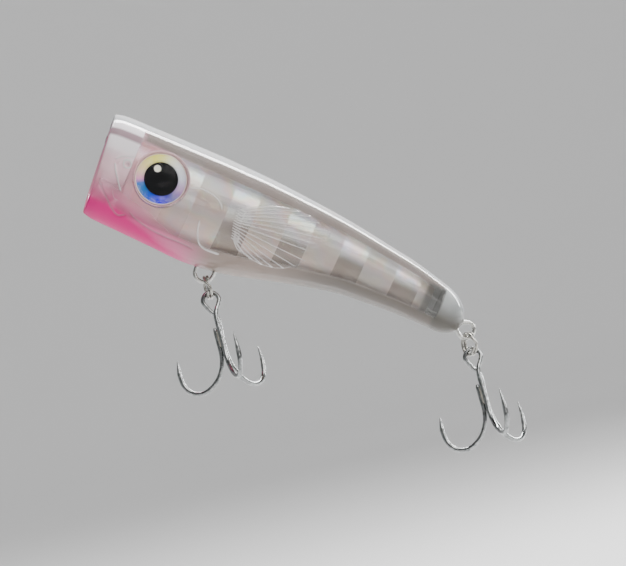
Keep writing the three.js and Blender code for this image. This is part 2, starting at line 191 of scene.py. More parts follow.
def even_steps(path, count):
    """Evenly spaced points along a fine path."""
    along = np.concatenate([[0], np.cumsum(np.linalg.norm(np.diff(path, axis=0), axis=1))])
    at = np.linspace(0, along[-1], count)
    return np.stack([np.interp(at, along, path[:, k]) for k in range(path.shape[1])], -1)


def resample(points, count):
    """Evenly spaced points on a smooth curve through the given ones."""
    p = np.asarray(points, float)
    ghost = np.vstack([2 * p[0] - p[1], p, 2 * p[-1] - p[-2]])
    fine = []
    for i in range(1, len(ghost) - 2):
        t = np.linspace(0, 1, 24, endpoint=i == len(ghost) - 3)[:, None]
        a, b, c, d = ghost[i - 1 : i + 3]
        square, cube = 2 * a - 5 * b + 4 * c - d, 3 * b - a - 3 * c + d
        fine.append(0.5 * (2 * b + (c - a) * t + square * t**2 + cube * t**3))
    return even_steps(np.vstack(fine), count)


def closed_tube(rings, flip=False):
    """Rings of points joined into a skin and closed at both ends: (points, faces)."""
    count, sides = rings.shape[:2]
    points = np.vstack([rings.reshape(-1, 3), rings[0].mean(0), rings[-1].mean(0)])
    faces = [tuple(f) for f in grid_faces(count, sides, closed=True, flip=flip)]
    first, last, end = count * sides, count * sides + 1, (count - 1) * sides
    for i in range(sides):
        j = (i + 1) % sides
        caps = [(first, j, i), (last, end + i, end + j)]
        faces += [cap[::-1] for cap in caps] if flip else caps
    return points, faces


def swept(centres, radii, sides, first_normal=(0, 1, 0)):
    """A round tube along a path, closed at its ends: (points, faces)."""
    tangents = np.gradient(centres, axis=0)
    tangents /= np.linalg.norm(tangents, axis=1)[:, None]
    normal = np.array(first_normal, float)
    turns = round_turns(sides)[:, None]
    rings = []
    for centre, tangent, radius in zip(centres, tangents, radii):
        normal = normal - tangent * normal.dot(tangent)
        normal /= np.linalg.norm(normal)
        across = np.cross(tangent, normal)
        rings.append(centre + radius * np.cos(turns) * normal + radius * np.sin(turns) * across)
    return closed_tube(np.array(rings))


# ---- Materials ----
def material(name):
    m = bpy.data.materials.new(name)
    m.use_nodes = True
    m.node_tree.nodes.clear()
    return m, Nodes(m.node_tree)


class Nodes:
    """Short calls for building a node tree."""

    def __init__(self, tree):
        self.tree = tree

    def make(self, kind, inputs=None, **settings):
        """Adds a node, fills its inputs and gives its outputs."""
        node = self.tree.nodes.new(kind)
        for key, value in settings.items():
            setattr(node, key, value)
        for key, value in (inputs or {}).items():
            self.put(node.inputs[key], value)
        return node.outputs

    def put(self, socket, value):
        if isinstance(value, bpy.types.NodeSocket):
            self.tree.links.new(value, socket)
        elif isinstance(value, tuple) and socket.type == "RGBA":
            socket.default_value = (*value, 1)
        elif value is not None:
            socket.default_value = value

    def math(self, operation, a, b=None, c=None):
        return self.make("ShaderNodeMath", {0: a, 1: b, 2: c}, operation=operation)[0]

    def times(self, a, b):
        return self.math("MULTIPLY", a, b)

    def minus(self, a, b):
        return self.math("SUBTRACT", a, b)

    def line(self, value, slope, start):
        return self.math("MULTIPLY_ADD", value, slope, start)

    def most(self, best, *others):
        """The largest of the values."""
        for value in others:
            best = self.math("MAXIMUM", best, value)
        return best

    def length(self, u, v):
        return self.math("SQRT", self.math("ADD", self.times(u, u), self.times(v, v)))

    def ramp(self, value, start, end, low=0.0, high=1.0):
        """Smooth step of value, from low at start to high at end."""
        inputs = {"Value": value, "From Min": start, "From Max": end, "To Min": low, "To Max": high}
        return self.make("ShaderNodeMapRange", inputs, interpolation_type="SMOOTHSTEP")[0]

    def between(self, value, rise, fall):
        """1 between two smooth steps, 0 outside them."""
        return self.times(self.ramp(value, *rise), self.ramp(value, *fall))

    def mix(self, factor, a, b, blend="MIX"):
        inputs = {0: factor, 6: a, 7: b}
        return self.make("ShaderNodeMix", inputs, data_type="RGBA", blend_type=blend)[2]

    def marked(self, name):
        """The number that each vertex was marked with."""
        return self.make("ShaderNodeAttribute", attribute_name=name)["Fac"]

    def split(self, vector):
        return self.make("ShaderNodeSeparateXYZ", {0: vector})

    def place(self):
        """The piece's own coordinates in millimetres: (vector, x, y, z)."""
        vector = self.make("ShaderNodeAttribute", attribute_name="place")["Vector"]
        return vector, *self.split(vector)

    def metres(self):
        """The world place in the rest pose, in metres."""
        return self.make("ShaderNodeTexCoord")["Object"]

    def cells(self, vector, scale):
        """A random number for each Voronoi cell, and the distance to its middle."""
        outputs = self.make("ShaderNodeTexVoronoi", {"Vector": vector, "Scale": scale})
        return self.split(outputs["Color"])[0], outputs["Distance"]

    def noise(self, vector, scale, detail=2.0, roughness=0.5, stretch=None):
        if stretch:
            vector = self.make("ShaderNodeMapping", {"Vector": vector, "Scale": stretch})[0]
        inputs = {"Vector": vector, "Scale": scale, "Detail": detail, "Roughness": roughness}
        return self.make("ShaderNodeTexNoise", inputs)["Fac"]

    def colours(self, value, stops):
        node = self.tree.nodes.new("ShaderNodeValToRGB")
        self.put(node.inputs[0], value)
        elements = node.color_ramp.elements
        while len(elements) < len(stops):
            elements.new(0.5)
        for element, (position, colour) in zip(elements, stops):
            element.position = position
            element.color = (*colour, 1)
        return node.outputs["Color"]

    def bump(self, height, distance, strength):
        inputs = {"Height": height, "Distance": distance, "Strength": strength}
        return self.make("ShaderNodeBump", inputs)[0]

    def principled(self, colour, roughness, metallic=0.0, normal=None, specular=None):
        inputs = {"Base Color": colour, "Roughness": roughness, "Metallic": metallic, "Normal": normal}
        inputs["Specular IOR Level"] = specular
        return self.make("ShaderNodeBsdfPrincipled", inputs)[0]

    def blend(self, factor, a, b):
        return self.make("ShaderNodeMixShader", {0: factor, 1: a, 2: b})[0]

    def clear(self):
        return self.make("ShaderNodeBsdfTransparent")[0]

    def gloss(self, roughness, normal):
        return self.make("ShaderNodeBsdfAnisotropic", {"Roughness": roughness, "Normal": normal})[0]

    def fresnel(self, ior, normal):
        return self.make("ShaderNodeFresnel", {"IOR": ior, "Normal": normal})[0]

    def out(self, shader):
        self.make("ShaderNodeOutputMaterial", {0: shader})


WHITE = (0.36, 0.375, 0.39)
WARM_WHITE = (0.40, 0.385, 0.38)
FLAKE = (0.54, 0.55, 0.60)
CUP_WHITE = (0.90, 0.84, 0.88)
FRONT_PINK = (0.88, 0.60, 0.66)
CUP_PINK = (0.66, 0.17, 0.32)
CUP_PALE = (0.72, 0.27, 0.41)
PEARL = (0.58, 0.49, 0.44)
PEARL_COOL = (0.66, 0.60, 0.56)
# the belly's pearly paint, painted darker as shade on the underside, and darker towards the tail
BELLY_SHADED = (0.28, 0.217, 0.184)
BELLY_AFT = (0.125, 0.106, 0.09)
# painted shade: a darker warm grey band along the shoulder, between the white back and the reflector
SHOULDER_SHADE = (0.20, 0.16, 0.14)
# painted shade: a darker pinkish band across the front, where the shoulder's shade runs on to the face
LIP_SHADE = (0.22, 0.11, 0.14)
# painted highlight near the front of the tail cap
TAIL_HIGHLIGHT = (0.42, 0.44, 0.44)
# painted shade for the dark gap at the reflector's end
TAIL_GAP_SHADE = (0.085, 0.085, 0.08)
# the tail cap's grey, painted lighter above as painted light and darker below as painted shade
TAIL_LIT = (0.28, 0.30, 0.30)
TAIL_SHADED = (0.087, 0.08, 0.067)
HEAD_PINK = (0.90, 0.39, 0.48)
PALE_PINK = (0.72, 0.13, 0.32)
HOT_PINK = (0.66, 0.0, 0.19)
EYE_RING = (0.86, 0.56, 0.60)
# painted highlight on the moulded lines' crests, and painted shade in their grooves
CREST_HIGHLIGHT = (0.74, 0.72, 0.72)
GROOVE_SHADE = (0.35, 0.22, 0.25)

# Where each coat of the shell's paint starts and where it is full. _X is millimetres from the face,
# _Z millimetres up, and _TURN degrees round the section, from -90 under the belly to 90 along the back.
# The shoulder, front lip, tail gap, tail cap and belly coats hold painted light and shade as well as
# paint.
CHIN_Z = -9.2
CHIN_SLOPE = 0.27
CHIN_FLAT = 1.5
HOT_BELOW = (-3.4, 1.2)
BLUSH_BELOW = (-11.5, -1.0)
BLUSH_X = (44.0, 30.0)
HEAD_X = (34.0, 12.0)
BACK_TURN = (57.0, 61.0)
BAND_TURN = (40.0, 43.0)
BAND_TWIST = 0.075
BAND_X = (8.6, 10.5)
LIP_TURN = ((31.0, 36.0), (46.0, 42.0))
LIP_X = (9.6, 8.4)
GAP_X = ((104.2, 106.2), (112.0, 111.0))
GAP_Z = ((7.6, 6.2), (-3.6, -1.6))
TAIL_X = (109.8, 111.6)
TAIL_HIGHLIGHT_X = (117.0, 113.0)
TAIL_Z = (-2.5, 4.0)
FRONT_X = (9.1, 8.5)
FRONT_Z = (-9.0, 0.0)
FRONT_WHITE_Z = (1.0, 7.0)
BELLY_TURN = (-41.5, -50.5)
BELLY_TWIST = -0.11
BELLY_AFT_X = (50.0, 80.0)
MOUTH_EDGE_X = (3.0, 1.0)
EYE_RING_RADII = ((8.62, 8.36), (7.75, 7.9))
# How much each coat hides what is behind the clear plastic.
COVER = {
    "back": 0.94,
    "tail": 0.90,
    "shoulder_shade": 0.66,
    "belly": 0.96,
    "blush": 0.62,
    "head": 0.34,
    "front": 0.85,
    "hot": 0.985,
}
CUP_COVER = 0.88
EYE_RING_COVER = 0.80
GAP_SHADE_COVER = 0.72


def shell_masks(n, x, z, drift):
    """Where each coat of the shell's paint, and each band of painted light or shade, lies, from 0 to 1.
    """
    turn = n.marked("turn")
    # chin is the depth below the line where the pink starts, which drops towards the tail
    line = n.most(n.line(x, CHIN_SLOPE, -3.0 * CHIN_SLOPE), CHIN_FLAT)
    chin = n.minus(n.line(z, -1.0, CHIN_Z), line)
    lip = n.between(turn, *LIP_TURN)
    # a band of painted shade along the shoulder, under the white back
    shoulder_shade = n.times(n.ramp(n.line(x, BAND_TWIST, turn), *BAND_TURN), n.ramp(turn, *BACK_TURN[::-1]))
    return {
        "hot": n.ramp(n.line(drift, 0.5, chin), *HOT_BELOW),
        "blush": n.times(n.ramp(n.math("ADD", chin, drift), *BLUSH_BELOW), n.ramp(x, *BLUSH_X)),
        "head": n.ramp(x, *HEAD_X),
        "back": n.ramp(turn, *BACK_TURN),
        "shoulder_shade": n.times(shoulder_shade, n.ramp(x, *BAND_X)),
        "lip": n.times(lip, n.ramp(x, *LIP_X)),
        # painted shade: a dark band for the shaded gap between the reflector's end and the solid tail cap
        "gap": n.times(n.between(x, *GAP_X), n.between(z, *GAP_Z)),
        "tail": n.ramp(x, *TAIL_X),
        "front": n.times(n.ramp(x, *FRONT_X), n.ramp(n.math("ADD", z, drift), *FRONT_Z)),
        "belly": n.ramp(n.line(x, BELLY_TWIST, turn), *BELLY_TURN),
        "eye_ring": n.between(n.marked("from_eye"), *EYE_RING_RADII),
        "cup": n.marked("cup"),
    }


def shell_coats(n, place, x, z, cloud, masks):
    """The coats' colours, each laid over the ones before it."""
    # the tail cap carries painted light above, painted shade below and a painted highlight near its front
    tail_lit = n.mix(n.ramp(x, *TAIL_HIGHLIGHT_X), TAIL_LIT, TAIL_HIGHLIGHT)
    pearl_white = n.mix(n.ramp(cloud, 0.35, 0.7), WHITE, WARM_WHITE)
    flake = n.ramp(n.cells(place, 3.2)[0], 0.7, 1.0, 0.0, 0.5)
    coats = (
        (n.times(masks["head"], 0.8), HEAD_PINK),
        # belly paint with painted shade of the underside, darker towards the tail
        (masks["belly"], n.mix(n.ramp(x, *BELLY_AFT_X), BELLY_SHADED, BELLY_AFT)),
        (n.times(masks["blush"], 0.9), PALE_PINK),
        (masks["shoulder_shade"], SHOULDER_SHADE),
        (masks["tail"], n.mix(n.ramp(z, *TAIL_Z), TAIL_SHADED, tail_lit)),
        (masks["front"], n.mix(n.ramp(z, *FRONT_WHITE_Z), FRONT_PINK, CUP_WHITE)),
        # painted shade across the front's upper part
        (n.times(masks["lip"], 0.85), LIP_SHADE),
        (masks["gap"], TAIL_GAP_SHADE),
        (masks["back"], n.mix(flake, pearl_white, FLAKE)),
        (masks["hot"], HOT_PINK),
        (masks["eye_ring"], EYE_RING),
        (masks["cup"], n.mix(n.ramp(cloud, 0.3, 0.7), CUP_PINK, CUP_PALE)),
    )
    colour = n.mix(n.ramp(cloud, 0.3, 0.75), PEARL, PEARL_COOL)
    for mask, coat in coats:
        colour = n.mix(mask, colour, coat)
    return colour


def shell_cover(n, x, cloud, masks):
    """How solid the paint is at each place."""
    solid = n.most(*(n.times(masks[coat], cover) for coat, cover in COVER.items()))
    solid = n.most(solid, n.ramp(x, *MOUTH_EDGE_X, 0.0, 0.7))
    outside = n.times(solid, n.minus(1.0, masks["cup"]))
    return n.most(
        outside,
        n.times(masks["cup"], CUP_COVER),
        n.times(masks["eye_ring"], EYE_RING_COVER),
        n.times(masks["gap"], GAP_SHADE_COVER),
        n.line(cloud, 0.10, 0.10),
    )


def shell_material():
    """Clear plastic painted thinly from inside: white back, pearly belly, hot pink chin."""
    m, n = material("shell_pearl")
    place, x, _, z = n.place()
    cloud = n.noise(place, 0.12, 3.0)
    masks = shell_masks(n, x, z, n.line(cloud, 2.4, -1.2))
    colour = shell_coats(n, place, x, z, cloud, masks)
    # painted highlight: the moulded lines' crests are painted lighter, as if they catch the light, and
    # their grooves darker as painted shade
    relief = n.marked("crest")
    crest = n.times(n.ramp(relief, 0.06, 0.22), n.minus(1.0, masks["hot"]))
    groove_shade = n.ramp(relief, -0.05, -0.22)
    colour = n.mix(n.times(crest, 0.9), colour, CREST_HIGHLIGHT)
    colour = n.mix(n.times(groove_shade, 0.5), colour, GROOVE_SHADE)
    opacity = n.most(shell_cover(n, x, cloud, masks), n.times(crest, 0.66), n.times(groove_shade, 0.45))
    grain = n.bump(n.noise(place, 9.0, 3.0, 0.6), 0.00002, 0.12)
    rough = n.line(n.noise(place, 1.4, 2.0), 0.12, 0.34)
    paint = n.principled(colour, rough, normal=grain, specular=0.1)
    veil = n.blend(opacity, n.clear(), paint)
    ripple = n.bump(n.noise(place, 0.18, 1.0), 0.00004, 0.15)
    sheen = n.math("MINIMUM", n.fresnel(1.5, ripple), n.line(masks["hot"], -0.11, 0.12))
    n.out(n.blend(sheen, veil, n.gloss(0.045, ripple)))
    return m


# The reflector's print: bars along the body, brighter above a crease as painted reflection, and darker
# below it as painted shade.
FIRST_BAR_X = 26.0
BAR_PITCH = 18.3
BAR_SHARE = (0.232, 0.218)
CREASE_Z = 7.0
CREASE_SLOPE = -0.025
LIGHT_RUN = 13.0
LIGHT_RUN_SLOPE = -0.145
LEAST_LIGHT_RUN = 1.6
RAINBOW = [
    (0.0, (0.96, 0.58, 0.52)),
    (0.2, (0.95, 0.86, 0.55)),
    (0.4, (0.68, 0.92, 0.72)),
    (0.6, (0.60, 0.80, 0.96)),
    (0.8, (0.80, 0.68, 0.96)),
    (1.0, (0.96, 0.58, 0.52)),
]
# painted reflection and shade: each bar's lit colour above the crease, and its shaded colour below it
FROSTED_SHADED = ((0.45, 0.366, 0.326), (0.56, 0.466, 0.42))
FROSTED_LIT = ((0.505, 0.46, 0.44), (0.665, 0.61, 0.585))
MIRROR_SHADED = ((0.17, 0.13, 0.11), (0.24, 0.185, 0.155))
MIRROR_LIT = (0.98, 0.99, 1.0)
AFT_FROSTED, AFT_MIRROR = (0.165, 0.150, 0.128), (0.090, 0.078, 0.062)
# painted light that lifts the reflector's print on its downward-facing side
UNDERSIDE_PAINTED_LIGHT = (1.55, 1.52, 1.50)
FOIL_PINK = (0.88, 0.50, 0.58)


def foil_print(n, x, bar, crease, upper, streak):
    """The bars' colours: mirror bars and frosted bars, each darker below the crease, with painted
    reflection above it and painted shade below it.
    """
    # painted reflection: a mirror bar is bright above the crease, light for a few millimetres below it,
    # then dark with painted shade
    light_run = n.most(n.line(x, LIGHT_RUN_SLOPE, LIGHT_RUN), LEAST_LIGHT_RUN)
    light = n.ramp(n.math("ADD", crease, light_run), -1.3, 1.3)
    mirror_step = n.line(light, 0.52, n.times(upper, 0.48))
    frosted_step = n.times(n.minus(1.0, bar), n.ramp(crease, -6.5, 1.5))
    first_bar = n.ramp(x, 30.0, 34.0, 0.25, 1.0)
    low = n.mix(n.times(bar, first_bar), n.mix(streak, *FROSTED_SHADED), n.mix(streak, *MIRROR_SHADED))
    low = n.mix(n.times(n.ramp(x, 30.0, 100.0), 0.75), low, n.mix(bar, AFT_FROSTED, AFT_MIRROR))
    high = n.mix(bar, n.mix(streak, *FROSTED_LIT), MIRROR_LIT)
    colour = n.mix(n.line(bar, mirror_step, frosted_step), low, high)
    # painted light: the sheet's lower side turns away from the light, so its print is painted paler there
    # to make up for the shade
    painted_lift = n.mix(1.0, colour, UNDERSIDE_PAINTED_LIGHT, "MULTIPLY")
    colour = n.mix(n.ramp(n.marked("turn"), -10.0, -36.0), colour, painted_lift)
    return n.mix(n.times(n.ramp(x, 24.0, 10.0), 0.6), colour, FOIL_PINK)


def foil_material():
    """A banded reflector with rainbow glints in its embossed facets."""
    m, n = material("foil_banded")
    place, x, _, z = n.place()
    phase = n.math("DIVIDE", n.minus(x, FIRST_BAR_X - BAR_PITCH / 2), BAR_PITCH)
    bar = n.ramp(n.math("ABSOLUTE", n.minus(n.math("FRACT", phase), 0.5)), *BAR_SHARE)
    crease = n.minus(z, n.line(x, CREASE_SLOPE, CREASE_Z))
    upper = n.ramp(crease, -0.6, 0.6)
    cloud = n.noise(place, 0.16, 3.0)
    streak = n.noise(place, 0.9, 4.0, 0.6, (0.12, 1.0, 1.0))
    facet, facet_depth = n.cells(place, 0.9)
    colour = foil_print(n, x, bar, crease, upper, streak)
    # the rainbow runs in slow diagonal waves
    wave = n.line(cloud, 2.2, n.math("ADD", n.times(x, 0.05), n.times(z, 0.13)))
    rainbow = n.colours(n.math("FRACT", wave), RAINBOW)
    glints = n.times(n.ramp(facet, 0.62, 0.95), n.ramp(cloud, 0.48, 0.66))
    glints = n.times(glints, n.ramp(n.math("ABSOLUTE", n.minus(x, 46.0)), 30.0, 8.0))
    tint = n.line(glints, 0.45, n.line(upper, 0.25, 0.25))
    colour = n.mix(tint, colour, n.mix(1.0, colour, rainbow, "MULTIPLY"))
    colour = n.mix(n.times(glints, 0.25), colour, rainbow)
    relief = n.bump(n.math("ADD", facet_depth, streak), 0.00008, 0.35)
    rough = n.mix(bar, (0.42, 0.42, 0.42), (0.24, 0.24, 0.24))
    n.out(n.principled(colour, rough, metallic=0.35, normal=relief))
    return m


# The eye's print, in millimetres: u to the tail, v up. IRIS goes round from the left by way of below.
PUPIL_RADIUS = (5.12, 5.20)
IRIS_RADIUS = (7.50, 7.58)
INNER_SHADE = (5.2, 6.1)
SPOT_U, SPOT_V = -2.18, 2.52
SPOT_RADIUS = (1.12, 1.05)
IRIS = [
    (0.000, (1.00, 0.78, 0.52)),
    (0.065, (0.86, 0.35, 0.65)),
    (0.095, (0.06, 0.22, 0.68)),
    (0.150, (0.01, 0.17, 0.52)),
    (0.230, (0.01, 0.06, 0.76)),
    (0.310, (0.05, 0.02, 0.94)),
    (0.400, (0.13, 0.12, 0.47)),
    (0.480, (0.60, 0.36, 0.68)),
    (0.565, (0.84, 0.88, 1.00)),
    (0.650, (0.92, 0.96, 1.00)),
    (0.730, (1.00, 1.00, 0.74)),
    (0.815, (1.00, 0.96, 0.17)),
    (0.900, (1.00, 0.92, 0.24)),
    (1.000, (1.00, 0.78, 0.52)),
]
IRIS_GLINT = (0.95, 0.95, 0.97)
IRIS_SHADE = (0.02, 0.03, 0.10)
PUPIL_BLACK = (0.004, 0.004, 0.005)
RIM_CREAM = (1.0, 0.90, 0.78)
SPOT_CREAM = (1.0, 0.98, 0.82)


def eye_material(word):
    """A printed holographic iris with a black pupil and a cream highlight dot."""
    m, n = material(f"iris_print_{word}")
    place, u, v, _ = n.place()
    radius = n.length(u, v)
    around = n.line(n.math("ARCTAN2", v, u), 0.5 / math.pi, 0.5)
    glint = n.ramp(n.noise(place, 0.5, 3.0), 0.4, 0.8, 0.0, 0.2)
    iris = n.mix(glint, n.colours(around, IRIS), IRIS_GLINT)
    shade = n.line(n.ramp(radius, *INNER_SHADE), -0.25, 0.25)
    iris = n.mix(shade, iris, IRIS_SHADE)
    outside_pupil = n.ramp(radius, *PUPIL_RADIUS)
    colour = n.mix(outside_pupil, PUPIL_BLACK, iris)
    colour = n.mix(n.ramp(radius, *IRIS_RADIUS), colour, RIM_CREAM)
    from_spot = n.length(n.minus(u, SPOT_U), n.minus(v, SPOT_V))
    colour = n.mix(n.ramp(from_spot, *SPOT_RADIUS), colour, SPOT_CREAM)
    printed = n.times(outside_pupil, n.ramp(radius, *IRIS_RADIUS[::-1]))
    grain = n.bump(n.noise(place, 12.0, 2.0), 0.00002, 0.2)
    metallic = n.times(printed, 0.3)
    n.out(n.principled(colour, 0.34, metallic=metallic, normal=grain, specular=0.08))
    return m


def dome_material():
    """Clear resin: a gloss over whatever is behind it."""
    m, n = material("clear_resin")
    place = n.place()[0]
    ripple = n.bump(n.noise(place, 0.5, 2.0), 0.00004, 0.2)
    dust = n.principled((0.93, 0.93, 0.95), 0.3)
    film = n.ramp(n.noise(place, 1.1, 4.0), 0.45, 0.8, 0.0, 0.006)
    sheen = n.times(n.fresnel(1.46, ripple), 0.2)
    n.out(n.blend(sheen, n.blend(film, n.clear(), dust), n.gloss(0.03, ripple)))
    return m


def steel_material(name, base, dark, rough):
    """Polished or plated steel with faint draw marks and a little tarnish."""
    m, n = material(name)
    coords = n.metres()
    cloud = n.noise(coords, 900.0, 4.0, 0.6)
    marks = n.noise(coords, 5200.0, 2.0, 0.7, (1.0, 1.0, 0.08))
    colour = n.mix(n.ramp(cloud, 0.38, 0.68), base, dark)
    roughness = n.line(marks, 0.10, rough - 0.03)
    bump = n.bump(n.line(marks, 0.5, cloud), 0.00002, 0.22)
    n.out(n.principled(colour, roughness, metallic=1.0, normal=bump))
    return m


def weight_material(name, base, dark):
    """Cast or turned metal that nobody polishes."""
    m, n = material(name)
    coords = n.metres()
    cloud = n.noise(coords, 420.0, 5.0, 0.65)
    pits = n.noise(coords, 2600.0, 3.0, 0.6)
    colour = n.mix(n.ramp(cloud, 0.35, 0.7), base, dark)
    rough = n.line(cloud, 0.25, 0.35)
    n.out(n.principled(colour, rough, metallic=0.9, normal=n.bump(pits, 0.00006, 0.5)))
    return m


def bulkhead_material():
    """The white wall behind the cup, pinker towards the chin."""
    m, n = material("bulkhead_white")
    place, _, _, z = n.place()
    cloud = n.noise(place, 0.3, 3.0)
    colour = n.mix(n.ramp(cloud, 0.3, 0.7), (0.93, 0.90, 0.91), (0.84, 0.78, 0.80))
    pink = n.ramp(n.times(z, -1.0), -2.0, 12.0)
    colour = n.mix(n.times(pink, 0.8), colour, (0.93, 0.20, 0.45))
    n.out(n.principled(colour, 0.35, normal=n.bump(cloud, 0.0002, 0.3)))
    return m


MATS = {
    "shell": shell_material(),
    "bulkhead": bulkhead_material(),
    "foil": foil_material(),
    "eye_left": eye_material("left"),
    "eye_right": eye_material("right"),
    "dome": dome_material(),
    "wire": steel_material("wire_stainless", (0.60, 0.60, 0.58), (0.36, 0.36, 0.34), 0.15),
    "ring": steel_material("split_ring_steel", (0.46, 0.45, 0.42), (0.24, 0.23, 0.21), 0.18),
    "hook": steel_material("hook_plated", (0.38, 0.39, 0.39), (0.17, 0.18, 0.18), 0.12),
    "braze": weight_material("braze_alloy", (0.62, 0.60, 0.52), (0.40, 0.38, 0.33)),
    "lead": weight_material("weight_steel", (0.42, 0.41, 0.40), (0.22, 0.21, 0.20)),
    "ball": weight_material("rattle_steel", (0.66, 0.66, 0.65), (0.45, 0.45, 0.44)),
}


# ---- Relief on the body's sides: strokes of (points, half width, height) in body x and z ----
JAW_FOLD = [(13.7, -10.3), (15.3, -11.3), (18.2, -12.1), (21.8, -12.7)]
JAW_FOLD += [(26.1, -12.9), (31.0, -12.8), (35.7, -12.9)]
STROKES = [
    # mouth, jaw and the fold behind it
    ([(1.3, -4.8), (3.0, -7.0), (5.6, -9.2), (8.3, -11.4), (10.9, -12.6), (13.0, -11.6)], 0.30, -0.30),
    (JAW_FOLD, 0.30, -0.26),
    # cheek and snout
    ([(3.8, 1.1), (5.4, -1.6), (8.8, -5.9)], 0.26, 0.30),
    ([(3.5, 2.0), (5.1, 3.8), (8.0, 4.8), (9.6, 5.6)], 0.26, 0.20),
    ([(4.6, 1.2), (6.0, 3.0), (8.4, 3.9)], 0.20, 0.14),
    ([(6.4, -6.6), (7.8, -8.4), (9.3, -8.6)], 0.22, 0.14),
    # gill cover
    ([(26.6, 2.6), (29.0, 3.9), (31.4, 4.3), (34.8, 3.9), (37.4, 2.6), (38.6, 0.9)], 0.34, 0.30),
    ([(38.6, 0.9), (39.4, -2.2), (38.9, -5.6)], 0.30, 0.14),
    ([(33.6, -4.2), (34.4, -7.4), (36.2, -10.4), (38.6, -11.4), (43.4, -11.2)], 0.34, 0.28),
    ([(30.6, 1.8), (33.4, 1.2), (35.4, -0.8)], 0.26, 0.14),
    ([(29.8, -3.0), (31.0, -6.6), (32.8, -9.6)], 0.24, -0.14),
]
NOSTRIL = (7.4, 2.2)
NOSTRIL_RADIUS = 1.15
FIN_BASE = [(43.8, 3.1), (43.6, 1.0), (44.0, -1.6), (44.6, -3.8), (45.2, -5.6)]
FIN_EDGE = [
    (57.5, 9.8), (62.0, 10.2), (66.5, 9.6), (71.6, 7.5), (70.2, 4.4), (67.6, 1.6),
    (68.2, -1.4), (66.2, -4.6), (61.8, -7.6), (55.4, -8.8), (49.8, -8.0),
]
RAYS = 15
TICKS = 13
# half width and height
RAY, FINE_RAY, TICK, FIN_RIM = (0.19, 0.27), (0.11, 0.11), (0.19, 0.30), (0.22, 0.15)


def fin_strokes():
    base, edge = resample(FIN_BASE, RAYS), resample(FIN_EDGE, RAYS)
    strokes = []
    for i in range(RAYS):
        a, b = base[i], edge[i]
        lift = 0.9 - 1.7 * i / (RAYS - 1)
        middle = (a + b) / 2 + np.array([0.0, lift])
        strokes.append(([a, middle, b], *RAY))
        if i < RAYS - 1:
            c, d = (a + base[i + 1]) / 2, (b + edge[i + 1]) / 2
            half = (c + d) / 2 + np.array([0.0, lift])
            strokes.append(([c + (half - c) * 0.15, half, d], *FINE_RAY))
    for x, z in resample(FIN_BASE, TICKS):
        strokes.append(([(x - 0.9, z + 0.2), (x + 0.5, z), (x + 1.9, z - 0.05)], *TICK))
    strokes.append(([base[0], (50.2, 7.4), *FIN_EDGE, base[-1]], *FIN_RIM))
    return strokes


def stroke_height(x, z, points, half_width, height):
    """Height of one rounded stroke at each (x, z)."""
    path = resample(points, 26)
    lo, hi = path.min(0) - 1.5, path.max(0) + 1.5
    near = (x > lo[0]) & (x < hi[0]) & (z > lo[1]) & (z < hi[1])
    out = np.zeros_like(x)
    if not near.any():
        return out
    p = np.stack([x[near], z[near]], -1)
    best = np.full(len(p), 9.0)
    share = np.zeros(len(p))
    for k in range(len(path) - 1):
        a, d = path[k], path[k + 1] - path[k]
        t = np.clip((p - a) @ d / (d @ d), 0, 1)
        gap = np.linalg.norm(p - a - t[:, None] * d, axis=1)
        closer = gap < best
        best[closer] = gap[closer]
        share[closer] = ((k + t) / (len(path) - 1))[closer]
    fade = np.clip(np.minimum(share, 1 - share) / 0.06, 0, 1) ** 0.5
    out[near] = height * ridge(best, half_width) * fade
    return out


def side_relief(x, z):
    total = np.zeros_like(x)
    for points, half_width, height in STROKES + fin_strokes():
        total += stroke_height(x, z, points, half_width, height)
    away = np.hypot(x - NOSTRIL[0], z - NOSTRIL[1])
    return total + 0.28 * ridge(away - NOSTRIL_RADIUS, 0.32) - 0.30 * ridge(away, 0.6)


# ---- The shell ----
FINE_END = 74.0
LIP_ROUND = 0.20
SEAM_ROUND = 0.08
EYE_RIM_RADIUS, EYE_RIM_HEIGHT = 8.4, 0.12
RELIEF_OFF_EYE = 8.5
NO_EYE = 99.0


def skin_rows():
    """Where the skin's rows of points lie: close together on the head and fin, where the relief is."""
    edge = [0.0, 0.06, 0.16, 0.3, 0.5, 0.75]
    cap = CAP_START + CAP_LENGTH * np.sin(np.linspace(0, math.pi / 2, 26))
    fine, coarse = np.arange(1.0, FINE_END, 0.25), np.arange(FINE_END, CAP_START, 0.8)
    return np.concatenate([edge, fine, coarse, cap])


def outward_normals(points, x):
    normal = np.cross(np.gradient(points, axis=0), np.gradient(points, axis=1))
    length = np.linalg.norm(normal, axis=-1, keepdims=True)
    normal = np.where(length > 1e-9, normal / np.maximum(length, 1e-9), [1.0, 0.0, 0.0])
    centres = np.stack([x, 0 * x, section(x)[0]], -1)
    outward = np.sign((normal * (points - centres)).sum(-1, keepdims=True))
    return normal * np.where(outward == 0, 1, outward)


